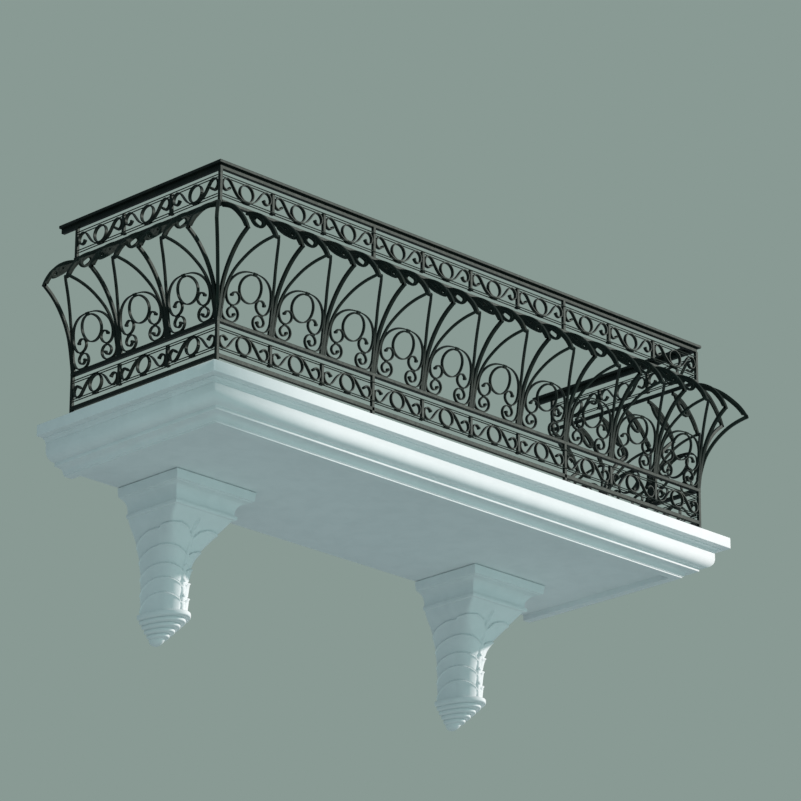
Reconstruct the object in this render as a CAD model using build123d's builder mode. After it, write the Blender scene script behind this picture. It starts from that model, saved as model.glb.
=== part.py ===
from build123d import *
import os
import math

os.makedirs("parts", exist_ok=True)

# ---------------------------------------------------------------- dimensions (mm)
# Row frame: X along the front, Y into the wall (wall face at Y = 0), Z up.
# The origin is the middle of the slab's rear face.
TOP = 100.0            # slab top
SLAB_HALF = 1695.0     # half the slab's length
SLAB_D = 1188.0        # slab projection from the wall
FASCIA_H = 55.0        # height of the top fascia
SOFFIT = TOP - 178.0   # recessed soffit
BAND_BOT = TOP - 206.0 # underside of the lowest moulding band

RAIL_HALF = 1595.0     # half the railing's outer length
RAIL_D = 1088.0        # outer face of the front railing
POST = 16.0            # square post
FRONT_BAYS = 10
PITCH = (2 * RAIL_HALF - POST) / FRONT_BAYS
SIDE_BAYS = 3
SIDE_END = 102.0       # far edge of the end post from the wall
SPITCH = (RAIL_D - SIDE_END - POST) / SIDE_BAYS

H_TOP = TOP + 1000.0   # top of the handrail
CAP_T = 14.0           # handrail cap
CAP_LIP = 12.0         # cap overhang outwards
CAP_W = 52.0           # cap width
H_BAR = TOP + 961.0    # underside of the handrail bar
BAR_D = 16.0           # depth of bars and posts
Z_UT, Z_UB = TOP + 934.5, TOP + 842.5     # upper frieze, middle of its rods
Z_LT, Z_LB = TOP + 204.0, TOP + 113.5     # lower frieze, middle of its rods
ROD_H, ROD_D = 5.0, 3.2                   # rods in front of and behind the frieze bars
MID_T, MID_B = TOP + 250.0, TOP + 234.0   # mid rail
MID_D = 22.0
BASE_T, BASE_B = TOP + 85.0, TOP + 66.0   # base rail
CREST_T, CREST_B = TOP + 814.0, TOP + 800.0   # crest rail under the upper frieze
CREST_OUT, CREST_D = 3.0, 18.0

FLARE_F = 203.0        # how far the front ribs lean out
FLARE_S = 188.0        # how far the side ribs lean out
FLARE_C = 176.0        # corner rib, along each axis
FLARE_K = 188.0        # the corner stem's front and side ribs
TIP_Z = 622.0          # height of the rib tips above the slab
RIB_W = 16.0           # rib bar width
RIB_T = 16.0           # rib bar depth
STRIP = 7.4            # scroll bar thickness
STRUT = 10.5           # leaning struts between the ribs
CLIP_W, CLIP_H, CLIP_OUT = 26.0, 10.0, 4.5   # clips on the lower rods of a frieze

COR_X = 961.0          # corbel centre line

# lean of the ribs: height above the slab, part of the full lean
LEAN = [(250, 0.0), (290, 0.033), (330, 0.068), (370, 0.108), (410, 0.160),
        (450, 0.240), (490, 0.345), (530, 0.480), (565, 0.628), (595, 0.797), (622, 1.0)]
# crest arc from the tip back to the crest rail
CREST = [(622, 1.0), (648, 0.945), (680, 0.855), (706, 0.755), (729, 0.65),
         (749, 0.545), (766, 0.43), (780, 0.30), (789, 0.19), (796, 0.08)]


def lean_at(z):
    for (z0, f0), (z1, f1) in zip(LEAN[:-1], LEAN[1:]):
        if z <= z1:
            return f0 + (f1 - f0) * (z - z0) / (z1 - z0)
    return 1.0


DRAWN = 442.0          # length of the leaning face on the drawing of the scrollwork


def height_at(t, flare):
    """Height above the slab of a point a drawn length t up the leaning face."""
    zs = [250 + 372 * i / 186 for i in range(187)]
    ln = [0.0]
    for a, b in zip(zs[:-1], zs[1:]):
        ln.append(ln[-1] + math.hypot(b - a, flare * (lean_at(b) - lean_at(a))))
    want = max(t, 0.0) * ln[-1] / DRAWN
    for i in range(1, len(zs)):
        if want <= ln[i]:
            k = (want - ln[i - 1]) / (ln[i] - ln[i - 1])
            return zs[i - 1] + k * (zs[i] - zs[i - 1])
    return 622.0 + (want - ln[-1])


# ---------------------------------------------------------------- helpers
def prism(pts3, vec):
    """Solid from a closed polygon of 3-D points pushed along vec."""
    return Solid.extrude(Face(Wire.make_polygon([Vector(*q) for q in pts3], close=True)), Vector(*vec))


def poly_prism(pts, plane, length, both=False):
    n = plane.z_dir
    lo = -length if both else 0.0
    pts3 = []
    for a, b in pts:
        v = plane.origin + plane.x_dir * a + plane.y_dir * b + n * lo
        pts3.append((v.X, v.Y, v.Z))
    d = n * ((2 * length) if both else length)
    return prism(pts3, (d.X, d.Y, d.Z))


def common(a, b):
    """Solids that a and b share."""
    r = a & b
    return list(r.solids()) if hasattr(r, "solids") else [q for w in r for q in w.solids()]


def fuse_all(solids):
    return solids[0].fuse(*solids[1:]) if len(solids) > 1 else solids[0]


def block(x0, x1, y0, y1, z0, z1):
    pts = [(x0, y0, z0), (x1, y0, z0), (x1, y1, z0), (x0, y1, z0)]
    return prism(pts, (0, 0, z1 - z0))


def ring_solid(cx, cz, rx, rz, w, depth):
    """Flat-bar ring in the XZ plane, from Y = 0 to Y = -depth."""
    outer = Solid.extrude(Face(Wire.make_polygon(
        [Vector(cx + rx * math.cos(2 * math.pi * j / 36), 0, cz + rz * math.sin(2 * math.pi * j / 36))
         for j in range(36)], close=True)), Vector(0, -depth, 0))
    inner = Solid.extrude(Face(Wire.make_polygon(
        [Vector(cx + (rx - w) * math.cos(2 * math.pi * j / 36), 0, cz + (rz - w) * math.sin(2 * math.pi * j / 36))
         for j in range(36)], close=True)), Vector(0, -depth, 0))
    return outer.cut(inner)


def strip_outline(pts, w):
    """Outline of a flat bar of width w whose middle line runs through pts."""
    left, right = [], []
    n = len(pts)
    for i, (x, z) in enumerate(pts):
        x0, z0 = pts[max(i - 1, 0)]
        x1, z1 = pts[min(i + 1, n - 1)]
        dx, dz = x1 - x0, z1 - z0
        d = math.hypot(dx, dz)
        nx, nz = -dz / d, dx / d
        left.append((x + nx * w / 2, z + nz * w / 2))
        right.append((x - nx * w / 2, z - nz * w / 2))
    return left + right[::-1]


def arc_pts(cx, cz, r, a0, a1, n, r1=None):
    r1 = r if r1 is None else r1
    out = []
    for i in range(n + 1):
        t = i / n
        a = math.radians(a0 + (a1 - a0) * t)
        rr = r + (r1 - r) * t
        out.append((cx + rr * math.cos(a), cz + rr * math.sin(a)))
    return out


ARM = [(158.75, 2.5), (140, 5), (118, 13.5), (98, 29.5), (82, 49.5), (68, 68.5), (56, 80.5), (42, 85.5),
       (27, 81), (15.5, 65.5), (14, 49.5), (21, 34.5), (35, 29), (47, 32.5), (54, 41.5)]


def frieze_arm(zb, zt, pitch, up):
    """One scroll arm of a frieze bay, from the middle of the bay out and up to a curl at the post."""
    k = pitch / 317.5
    h = (zt - zb) / 92.0
    return [((158.75 - x) * k, zb + z * h if up else zt - z * h) for x, z in ARM]


def frieze(s0, pitch, lines, z_top, z_bot, up, end_posts, post_top, post_bot, base=False, ends=(0, 0, 0, 0)):
    """Frieze panel along X, from Y = 0 to Y = -BAR_D. lines are bay line numbers."""
    first, last = lines[0], lines[-1]
    a = s0 + pitch * first
    b = s0 + pitch * last
    lo = a + POST / 2 if not end_posts else a - POST / 2
    hi = b - POST / 2 if not end_posts else b + POST / 2
    zt, zb = z_top, z_bot
    parts = []
    for z in (zt, zb):
        parts.append(block(lo - ends[0], hi + ends[1], -BAR_D - ROD_D, -BAR_D, z - ROD_H / 2, z + ROD_H / 2))
        parts.append(block(lo + ends[2], hi - ends[3], 0, ROD_D, z - ROD_H / 2, z + ROD_H / 2))
    if base:
        parts.append(block(lo, hi, -BAR_D, 0, BASE_B, BASE_T))
    for i in lines:
        x = s0 + pitch * i
        if i in (first, last):
            if end_posts:
                parts.append(block(x - POST / 2, x + POST / 2, -BAR_D, 0, post_bot, post_top))
        else:
            parts.append(block(x - POST / 2, x + POST / 2, -BAR_D, 0, z_bot - 5, z_top + 5))
            parts.append(block(x - 11, x + 11, -BAR_D - CLIP_OUT, CLIP_OUT, z_bot - CLIP_H / 2, z_bot + CLIP_H / 2))
    arm = frieze_arm(zb, zt, pitch, up)
    motif = [ring_solid(0, (zt + zb) / 2, 44.2, 44.2, STRIP, BAR_D)]
    for sgn in (1, -1):
        o = strip_outline([(sgn * x, z) for x, z in arm], STRIP)
        motif.append(prism([(x, 0, z) for x, z in o], (0, -BAR_D, 0)))
    for i in lines[:-1]:
        x = s0 + pitch * (i + 0.5)
        for m in motif:
            parts.append(m.moved(Location((x, 0, 0))))
        parts.append(block(x - CLIP_W / 2, x + CLIP_W / 2, -BAR_D - CLIP_OUT, CLIP_OUT,
                           z_bot - CLIP_H / 2, z_bot + CLIP_H / 2))
    return fuse_all(parts)


ARC = [(12, -6), (13, 50), (15, 90), (17, 120), (20.5, 150), (25.5, 180), (32.5, 210), (42, 240), (54, 270),
       (67, 300), (82, 332), (98, 362), (118, 396), (137, 424), (150, 442)]
ARCH = [(160, 243), (128, 241), (100, 235), (72, 221), (52, 203), (36.5, 179), (28.5, 151), (27.5, 125), (34, 102),
        (48, 84), (68, 77), (89, 83), (104.5, 98), (108.5, 117), (100, 133), (83, 139), (69, 133), (62, 122)]
FOOT = [(10.5, 92), (11.5, 62), (16, 36), (27, 15), (44, 4.5), (62, 1.5), (81, 1.5), (97, 8), (110, 23),
        (113.5, 42), (106, 59), (91, 69.5), (73, 70), (57, 59), (50, 42), (58.5, 27), (72, 22), (84, 28), (89, 38)]


def belly_bars(pitch, flare):
    """Outlines of half a bay's scrollwork, from a stem at 0, one closed outline for each bar."""
    k = pitch / 317.5
    outs = []
    for pts, w in ((ARC, STRUT), (ARCH, STRIP), (FOOT, STRIP)):
        flat = strip_outline([(x * k, t) for x, t in pts], w)
        outs.append([(x, TOP + height_at(t, flare) if t > 0 else TOP + 250 + t) for x, t in flat])
    return outs


def shell(x0, x1, out, flare, inner=14.0):
    """Thin leaning surface the scrollwork lies on; out = distance of the plain face from Y = 0."""
    a = [(-out - flare * f, TOP + z) for z, f in LEAN]
    b = [(-out - flare * f + inner, TOP + z) for z, f in LEAN]
    a.append((-out - flare - 2, TOP + TIP_Z + 6))
    b.append((-out - flare + inner, TOP + TIP_Z + 6))
    return prism([(x0, y, z) for y, z in a + b[::-1]], (x1 - x0, 0, 0))


def rib_outline(out, flare, t=RIB_T):
    """Side view of a rib with its crest arc: distance outwards, height."""
    outer = [(out + flare * f, TOP + z) for z, f in LEAN]
    crest = [(out + flare * f, TOP + z) for z, f in CREST[1:]]
    path = outer + crest + [(out - 2, CREST_B + 3)]
    inner = []
    n = len(path)
    for i, (x, z) in enumerate(path):
        x0, z0 = path[max(i - 1, 0)]
        x1, z1 = path[min(i + 1, n - 1)]
        dx, dz = x1 - x0, z1 - z0
        d = math.hypot(dx, dz)
        nx, nz = -dz / d, dx / d
        inner.append((x + nx * t, z + nz * t))
    inner[0] = (out - t, TOP + 250)
    inner[-1] = (out - 2, CREST_B + 3 - t)
    inner[-2] = (inner[-2][0], min(inner[-2][1], CREST_B - 8))
    return path + inner[::-1]


# ---------------------------------------------------------------- slab
# moulding profile under the fascia: inset from the slab edge, depth below the slab top
PROF = [(37.5, 55.0), (37.5, 58.6), (42.0, 62.0), (48.0, 68.0), (52.0, 75.3), (56.0, 75.3),
        (56.0, 110.0), (58.5, 122.0), (64.0, 133.0), (73.0, 143.0), (85.0, 150.0), (98.0, 154.0),
        (111.0, 156.5), (111.0, 172.5), (143.0, 174.6), (150.0, 180.0), (158.0, 189.0),
        (164.0, 196.0), (170.0, 199.0), (170.0, 206.0)]
BAND_IN = 215.0

with BuildPart() as slab_top:
    with Locations((0, -SLAB_D / 2, TOP - FASCIA_H / 2)):
        Box(2 * SLAB_HALF, SLAB_D, FASCIA_H)
    fillet(slab_top.edges().filter_by(Axis.Z).sort_by(Axis.Y)[0:2], 6)
slab_top.part.label = "slab_top"
export_step(slab_top.part, "parts/slab_top.step")

with BuildPart() as slab_core:
    with Locations((0, -(SLAB_D - BAND_IN) / 2, (SOFFIT + TOP - FASCIA_H) / 2)):
        Box(2 * (SLAB_HALF - BAND_IN), SLAB_D - BAND_IN, TOP - FASCIA_H - SOFFIT)
slab_core.part.label = "slab_core"
export_step(slab_core.part, "parts/slab_core.step")

mould_pts = [(i, TOP - d) for i, d in PROF] + [(BAND_IN, BAND_BOT), (BAND_IN, TOP - FASCIA_H)]


def mitre_cut(part, xa, ya, xb, yb, keep):
    """Cut a part by the vertical plane through (xa, ya) and (xb, yb); keep is a point kept."""
    dx, dy = xb - xa, yb - ya
    d = math.hypot(dx, dy)
    ux, uy = dx / d, dy / d
    nx, ny = -uy, ux
    if (keep[0] - xa) * nx + (keep[1] - ya) * ny < 0:
        nx, ny = -nx, -ny
    big = 6000.0
    pts = [(xa - ux * big, ya - uy * big), (xa + ux * big, ya + uy * big),
           (xa + ux * big + nx * big, ya + uy * big + ny * big),
           (xa - ux * big + nx * big, ya - uy * big + ny * big)]
    half = poly_prism(pts, Plane.XY.offset(-2000), 4000)
    return part & half


front_raw = poly_prism([(-SLAB_D + i, z) for i, z in mould_pts], Plane.YZ, SLAB_HALF, both=True)
front_raw = mitre_cut(front_raw, -SLAB_HALF, -SLAB_D, 0, -SLAB_D + SLAB_HALF, (0, -SLAB_D))
front_raw = mitre_cut(front_raw, SLAB_HALF, -SLAB_D, 0, -SLAB_D + SLAB_HALF, (0, -SLAB_D))
with BuildPart() as moulding_front:
    add(front_raw)
moulding_front.part.label = "moulding_front"
export_step(moulding_front.part, "parts/moulding_front.step")


def side_mould(sgn):
    # sketch in XZ: x measured from the slab edge inwards
    pts = [(sgn * (SLAB_HALF - i), z) for i, z in mould_pts]
    raw = poly_prism(pts, Plane.XZ, SLAB_D)       # XZ normal is -Y
    return mitre_cut(raw, sgn * SLAB_HALF, -SLAB_D, 0, -SLAB_D + SLAB_HALF, (sgn * SLAB_HALF, 0))


with BuildPart() as moulding_left:
    add(side_mould(-1))
moulding_left.part.label = "moulding_left"
export_step(moulding_left.part, "parts/moulding_left.step")

with BuildPart() as moulding_right:
    add(side_mould(1))
moulding_right.part.label = "moulding_right"
export_step(moulding_right.part, "parts/moulding_right.step")


# ---------------------------------------------------------------- corbels
# cap: half width, projection, depth below the slab top
CAPS = [(240, 409, 178.0), (234, 402, 224.0), (226, 392, 226.0), (208, 369, 240.0),
        (190, 347, 252.0), (179, 333, 277.0), (179, 333, 292.0), (185, 341, 293.0), (185, 341, 314.0)]
# body: half width, projection, section exponent, depth below the slab top
BODY = [(176, 330, 24.0, 314.0), (161, 291, 16.0, 350.0), (135, 257, 9.0, 394.0),
        (108, 227, 4.0, 461.0), (95, 206, 2.6, 520.0), (87, 192, 2.1, 600.0), (84, 189, 2.0, 757.0)]
RINGS = [(107, 220, 757.0), (107, 220, 781.0), (92, 190, 786.0), (92, 188, 800.0),
         (77, 158, 805.0), (77, 156, 819.0), (61, 127, 824.0), (61, 125, 838.0),
         (45, 95, 843.0), (44, 92, 857.0), (28, 62, 862.0), (22, 50, 874.0), (10, 34, 884.0)]


def d_section(cx, w, d, n, z, count=13):
    """Half superellipse against the wall at height z."""
    pts = []
    for j in range(count):
        a = math.pi * j / (count - 1)
        c, s = math.cos(a), math.sin(a)
        x = w * (abs(c) ** (2 / n)) * (1 if c >= 0 else -1)
        y = -d * (abs(s) ** (2 / n))
        pts.append((cx + x, y))
    return Wire.make_polygon([Vector(x, y, z) for x, y in pts], close=True)


def loft_stack(sections):
    parts = []
    for a, b in zip(sections[:-1], sections[1:]):
        parts.append(Solid.make_loft([a, b], ruled=True))
    return fuse_all(parts)


def rect_section(cx, w, d, z):
    return Wire.make_polygon([Vector(cx - w, 0, z), Vector(cx + w, 0, z), Vector(cx + w, -d, z),
                              Vector(cx - w, -d, z)], close=True)


def corbel_cap(cx):
    return loft_stack([rect_section(cx, w, d, TOP - z) for w, d, z in CAPS])


def corbel_body(cx):
    return loft_stack([d_section(cx, w, d, n, TOP - z, 25) for w, d, n, z in BODY])


def corbel_finial(cx):
    return loft_stack([d_section(cx, w, d, 2.0, TOP - z, 21) for w, d, z in RINGS])


with BuildPart() as corbel_cap_left:
    add(corbel_cap(-COR_X))
corbel_cap_left.part.label = "corbel_cap_left"
export_step(corbel_cap_left.part, "parts/corbel_cap_left.step")

with BuildPart() as corbel_cap_right:
    add(corbel_cap(COR_X))
corbel_cap_right.part.label = "corbel_cap_right"
export_step(corbel_cap_right.part, "parts/corbel_cap_right.step")

with BuildPart() as corbel_body_left:
    add(corbel_body(-COR_X))
corbel_body_left.part.label = "corbel_body_left"
export_step(corbel_body_left.part, "parts/corbel_body_left.step")

with BuildPart() as corbel_body_right:
    add(corbel_body(COR_X))
corbel_body_right.part.label = "corbel_body_right"
export_step(corbel_body_right.part, "parts/corbel_body_right.step")

with BuildPart() as corbel_finial_left:
    add(corbel_finial(-COR_X))
corbel_finial_left.part.label = "corbel_finial_left"
export_step(corbel_finial_left.part, "parts/corbel_finial_left.step")

with BuildPart() as corbel_finial_right:
    add(corbel_finial(COR_X))
corbel_finial_right.part.label = "corbel_finial_right"
export_step(corbel_finial_right.part, "parts/corbel_finial_right.step")

# ---------------------------------------------------------------- handrail
# section: distance inwards from the railing's outer face, height
HAND = [(-CAP_LIP, H_TOP - CAP_T), (-CAP_LIP, H_TOP), (CAP_W - CAP_LIP, H_TOP),
        (CAP_W - CAP_LIP, H_TOP - CAP_T), (BAR_D, H_TOP - CAP_T), (BAR_D, H_BAR), (0, H_BAR),
        (0, H_TOP - CAP_T)]


def mitred_front(section, z_unused=None):
    raw = poly_prism([(-RAIL_D + i, z) for i, z in section], Plane.YZ, RAIL_HALF + CAP_LIP, both=True)
    raw = mitre_cut(raw, -RAIL_HALF, -RAIL_D, 0, -RAIL_D + RAIL_HALF, (0, -RAIL_D))
    return mitre_cut(raw, RAIL_HALF, -RAIL_D, 0, -RAIL_D + RAIL_HALF, (0, -RAIL_D))


def mitred_side(section, sgn, y_end):
    pts = [(sgn * (RAIL_HALF - i), z) for i, z in section]
    raw = poly_prism(pts, Plane.XZ.offset(-y_end), RAIL_D + CAP_LIP + y_end)
    return mitre_cut(raw, sgn * RAIL_HALF, -RAIL_D, 0, -RAIL_D + RAIL_HALF, (sgn * RAIL_HALF, 0))


with BuildPart() as handrail_front:
    add(mitred_front(HAND))
handrail_front.part.label = "handrail_front"
export_step(handrail_front.part, "parts/handrail_front.step")

with BuildPart() as handrail_left:
    add(mitred_side(HAND, -1, 0.0))
handrail_left.part.label = "handrail_left"
export_step(handrail_left.part, "parts/handrail_left.step")

with BuildPart() as handrail_right:
    add(mitred_side(HAND, 1, 0.0))
handrail_right.part.label = "handrail_right"
export_step(handrail_right.part, "parts/handrail_right.step")

# ---------------------------------------------------------------- mid rail
MID = [(0, MID_B), (0, MID_T), (MID_D, MID_T), (MID_D, MID_B)]
with BuildPart() as mid_rail_front:
    add(mitred_front(MID))
mid_rail_front.part.label = "mid_rail_front"
export_step(mid_rail_front.part, "parts/mid_rail_front.step")

with BuildPart() as mid_rail_left:
    add(mitred_side(MID, -1, -SIDE_END))
mid_rail_left.part.label = "mid_rail_left"
export_step(mid_rail_left.part, "parts/mid_rail_left.step")

with BuildPart() as mid_rail_right:
    add(mitred_side(MID, 1, -SIDE_END))
mid_rail_right.part.label = "mid_rail_right"
export_step(mid_rail_right.part, "parts/mid_rail_right.step")

# ---------------------------------------------------------------- posts
FX0 = -RAIL_HALF + POST / 2      # first bay line of the front
SY0 = -RAIL_D + POST / 2         # first bay line of a side


def post_block(x, y, z0, z1):
    return block(x - POST / 2, x + POST / 2, y - POST / 2, y + POST / 2, z0, z1)


with BuildPart() as lower_post_corner_left:
    add(post_block(FX0, SY0, TOP, MID_B))
lower_post_corner_left.part.label = "lower_post_corner_left"
export_step(lower_post_corner_left.part, "parts/lower_post_corner_left.step")

with BuildPart() as lower_post_corner_right:
    add(post_block(-FX0, SY0, TOP, MID_B))
lower_post_corner_right.part.label = "lower_post_corner_right"
export_step(lower_post_corner_right.part, "parts/lower_post_corner_right.step")

with BuildPart() as upper_post_corner_left:
    add(post_block(FX0, SY0, CREST_T, H_BAR))
upper_post_corner_left.part.label = "upper_post_corner_left"
export_step(upper_post_corner_left.part, "parts/upper_post_corner_left.step")

with BuildPart() as upper_post_corner_right:
    add(post_block(-FX0, SY0, CREST_T, H_BAR))
upper_post_corner_right.part.label = "upper_post_corner_right"
export_step(upper_post_corner_right.part, "parts/upper_post_corner_right.step")

EY = -SIDE_END - POST / 2
with BuildPart() as lower_post_end_left:
    add(post_block(FX0, EY, TOP, MID_B))
lower_post_end_left.part.label = "lower_post_end_left"
export_step(lower_post_end_left.part, "parts/lower_post_end_left.step")

with BuildPart() as lower_post_end_right:
    add(post_block(-FX0, EY, TOP, MID_B))
lower_post_end_right.part.label = "lower_post_end_right"
export_step(lower_post_end_right.part, "parts/lower_post_end_right.step")

with BuildPart() as upper_post_end_left:
    add(post_block(FX0, EY, CREST_T, H_BAR))
upper_post_end_left.part.label = "upper_post_end_left"
export_step(upper_post_end_left.part, "parts/upper_post_end_left.step")

with BuildPart() as upper_post_end_right:
    add(post_block(-FX0, EY, CREST_T, H_BAR))
upper_post_end_right.part.label = "upper_post_end_right"
export_step(upper_post_end_right.part, "parts/upper_post_end_right.step")

# ---------------------------------------------------------------- friezes
MAIN = (3, 7)


def make_front_frieze(lines, upper, mains):
    e = POST + ROD_D                 # the front rods run on to the outer corner
    ends = (e if lines[0] == 0 else 0, e if lines[-1] == FRONT_BAYS else 0,
            ROD_D if lines[0] == 0 else 0, ROD_D if lines[-1] == FRONT_BAYS else 0)
    if upper:
        body = frieze(FX0, PITCH, lines, Z_UT, Z_UB, True, mains, H_BAR, CREST_T, ends=ends)
    else:
        body = frieze(FX0, PITCH, lines, Z_LT, Z_LB, False, mains, MID_B, TOP, base=True, ends=ends)
    return body.moved(Location((0, -RAIL_D + BAR_D, 0)))


with BuildPart() as upper_frieze_front_a:
    add(make_front_frieze([0, 1, 2, 3], True, False))
upper_frieze_front_a.part.label = "upper_frieze_front_a"
export_step(upper_frieze_front_a.part, "parts/upper_frieze_front_a.step")

with BuildPart() as upper_frieze_front_b:
    add(make_front_frieze([3, 4, 5, 6, 7], True, True))
upper_frieze_front_b.part.label = "upper_frieze_front_b"
export_step(upper_frieze_front_b.part, "parts/upper_frieze_front_b.step")

with BuildPart() as upper_frieze_front_c:
    add(make_front_frieze([7, 8, 9, 10], True, False))
upper_frieze_front_c.part.label = "upper_frieze_front_c"
export_step(upper_frieze_front_c.part, "parts/upper_frieze_front_c.step")

with BuildPart() as lower_frieze_front_a:
    add(make_front_frieze([0, 1, 2, 3], False, False))
lower_frieze_front_a.part.label = "lower_frieze_front_a"
export_step(lower_frieze_front_a.part, "parts/lower_frieze_front_a.step")

with BuildPart() as lower_frieze_front_b:
    add(make_front_frieze([3, 4, 5, 6, 7], False, True))
lower_frieze_front_b.part.label = "lower_frieze_front_b"
export_step(lower_frieze_front_b.part, "parts/lower_frieze_front_b.step")

with BuildPart() as lower_frieze_front_c:
    add(make_front_frieze([7, 8, 9, 10], False, False))
lower_frieze_front_c.part.label = "lower_frieze_front_c"
export_step(lower_frieze_front_c.part, "parts/lower_frieze_front_c.step")


def make_side_frieze(sgn, upper):
    ends = (POST, POST, 0, -POST)
    if upper:
        body = frieze(SY0, SPITCH, [0, 1, 2, 3], Z_UT, Z_UB, True, False, H_BAR, CREST_T, ends=ends)
    else:
        body = frieze(SY0, SPITCH, [0, 1, 2, 3], Z_LT, Z_LB, False, False, MID_B, TOP, base=True, ends=ends)
    turned = body.rotate(Axis.Z, 90).moved(Location((RAIL_HALF - BAR_D, 0, 0)))   # along Y, on the right
    return turned if sgn > 0 else mirror(turned, about=Plane.YZ)


with BuildPart() as upper_frieze_left:
    add(make_side_frieze(-1, True))
upper_frieze_left.part.label = "upper_frieze_left"
export_step(upper_frieze_left.part, "parts/upper_frieze_left.step")

with BuildPart() as upper_frieze_right:
    add(make_side_frieze(1, True))
upper_frieze_right.part.label = "upper_frieze_right"
export_step(upper_frieze_right.part, "parts/upper_frieze_right.step")

with BuildPart() as lower_frieze_left:
    add(make_side_frieze(-1, False))
lower_frieze_left.part.label = "lower_frieze_left"
export_step(lower_frieze_left.part, "parts/lower_frieze_left.step")

with BuildPart() as lower_frieze_right:
    add(make_side_frieze(1, False))
lower_frieze_right.part.label = "lower_frieze_right"
export_step(lower_frieze_right.part, "parts/lower_frieze_right.step")


# ---------------------------------------------------------------- belly panels
def bracket_outline(out, flare, t=15.0):
    """Crest arc alone, from the nose back to the crest rail."""
    path = [(out + flare * f, TOP + z) for z, f in CREST] + [(out - 2, CREST_B + 3)]
    inner = []
    n = len(path)
    for i, (x, z) in enumerate(path):
        x0, z0 = path[max(i - 1, 0)]
        x1, z1 = path[min(i + 1, n - 1)]
        dx, dz = x1 - x0, z1 - z0
        d = math.hypot(dx, dz)
        inner.append((x - dz / d * t, z + dx / d * t))
    inner[0] = (out + flare - t - 6, TOP + TIP_Z - 6)
    inner[-1] = (out - 2, CREST_B + 3 - t)
    return path + inner[::-1]


LOOP = [(12, 786), (17, 764), (31, 742), (46, 722), (65, 706), (84, 696), (101, 694), (117, 702),
        (123, 718), (116, 738), (98, 755), (72, 770), (42, 782)]
LOOP_EYE = [(50, 746), (58, 732), (76, 714), (91, 707), (96, 714), (84, 730), (64, 747)]
LEAF = [(24, 782), (24, 768), (35, 748), (52, 732), (72, 714), (95, 698), (117, 684), (136, 676), (150, 680),
        (157, 690), (149, 704), (126, 727), (98, 746), (68, 762), (40, 776)]


def belly(s0, pitch, lines, ribs, out, flare, lo, hi):
    """Panel along X, outer plane at Y = -out. ribs: bay lines whose rib belongs here."""
    half = pitch / 2
    surf = shell(-10, half + 10, out, flare)
    bay = []
    g = flare / 196.0
    for o in belly_bars(pitch, flare):
        for bar in common(prism([(x, 0, z) for x, z in o], (0, -(out + flare + 40), 0)), surf):
            bay.append(bar)
            bay.append(bar.mirror(Plane.YZ.offset(half)))
    k = pitch / 317.5
    loops = []
    for r in (66.7, 59.3):
        loops.append(prism([(half + r * k * math.cos(math.pi * j / 20), 0,
                             TOP + height_at(171.5 + r * math.sin(math.pi * j / 20), flare)) for j in range(40)],
                           (0, -(out + flare + 40), 0)))
    bay.extend(common(loops[0].cut(loops[1]), shell(-10, pitch + 10, out, flare)))
    bay.extend(common(block(half - 10, half + 10, -(out + flare + 40), 0, TOP + height_at(229, flare),
                            TOP + height_at(247, flare)), shell(-10, pitch + 10, out, flare)))
    loop, eye = [[(-(out + o * g), TOP + z) for o, z in q] for q in (LOOP, LOOP_EYE)]
    bay.append(poly_prism(loop, Plane.YZ.offset(half), 6.5, both=True).cut(
        poly_prism(eye, Plane.YZ.offset(half), 9.0, both=True)))
    pts = [(-a, b) for a, b in bracket_outline(out, flare)]
    bay.append(poly_prism(pts, Plane.YZ.offset(half), RIB_W / 2, both=True))
    rib = poly_prism([(-a, b) for a, b in rib_outline(out, flare)], Plane.YZ, RIB_W / 2, both=True)
    rib = rib.fuse(poly_prism([(-(out + o * g), TOP + z) for o, z in LEAF], Plane.YZ, 6.5, both=True))
    parts = [block(lo, hi, -out - CREST_OUT, -out - CREST_OUT + CREST_D, CREST_B, CREST_T)]
    for i in ribs:
        parts.append(rib.moved(Location((s0 + pitch * i, 0, 0))))
    clip = block(lo, hi, -out - flare - 60, -out + 60, TOP + 250, CREST_T)
    for i in lines[:-1]:
        for m in bay:
            m2 = m.moved(Location((s0 + pitch * i, 0, 0)))
            parts.extend(common(m2, clip) if i in (lines[0], lines[-2]) else [m2])
    return fuse_all(parts)


HALF_P = POST / 2
HALF_R = RIB_W / 2
with BuildPart() as belly_front_a:
    add(belly(FX0, PITCH, [0, 1, 2, 3], [1, 2], RAIL_D, FLARE_F, FX0 + HALF_R, FX0 + 3 * PITCH - HALF_R))
belly_front_a.part.label = "belly_front_a"
export_step(belly_front_a.part, "parts/belly_front_a.step")

with BuildPart() as belly_front_b:
    add(belly(FX0, PITCH, [3, 4, 5, 6, 7], [3, 4, 5, 6, 7], RAIL_D, FLARE_F,
              FX0 + 3 * PITCH - HALF_R, FX0 + 7 * PITCH + HALF_R))
belly_front_b.part.label = "belly_front_b"
export_step(belly_front_b.part, "parts/belly_front_b.step")

with BuildPart() as belly_front_c:
    add(belly(FX0, PITCH, [7, 8, 9, 10], [8, 9], RAIL_D, FLARE_F,
              FX0 + 7 * PITCH + HALF_R, FX0 + 10 * PITCH - HALF_R))
belly_front_c.part.label = "belly_front_c"
export_step(belly_front_c.part, "parts/belly_front_c.step")

# a side panel is drawn along X like the front ones, then turned a quarter
side_raw = belly(SY0, SPITCH, [0, 1, 2, 3], [1, 2, 3], RAIL_HALF, FLARE_S,
                 SY0 + HALF_R, SY0 + 3 * SPITCH + HALF_R).rotate(Axis.Z, 90)
with BuildPart() as belly_right:
    add(side_raw)
belly_right.part.label = "belly_right"
export_step(belly_right.part, "parts/belly_right.step")

with BuildPart() as belly_left:
    add(mirror(side_raw, about=Plane.YZ))
belly_left.part.label = "belly_left"
export_step(belly_left.part, "parts/belly_left.step")


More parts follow.
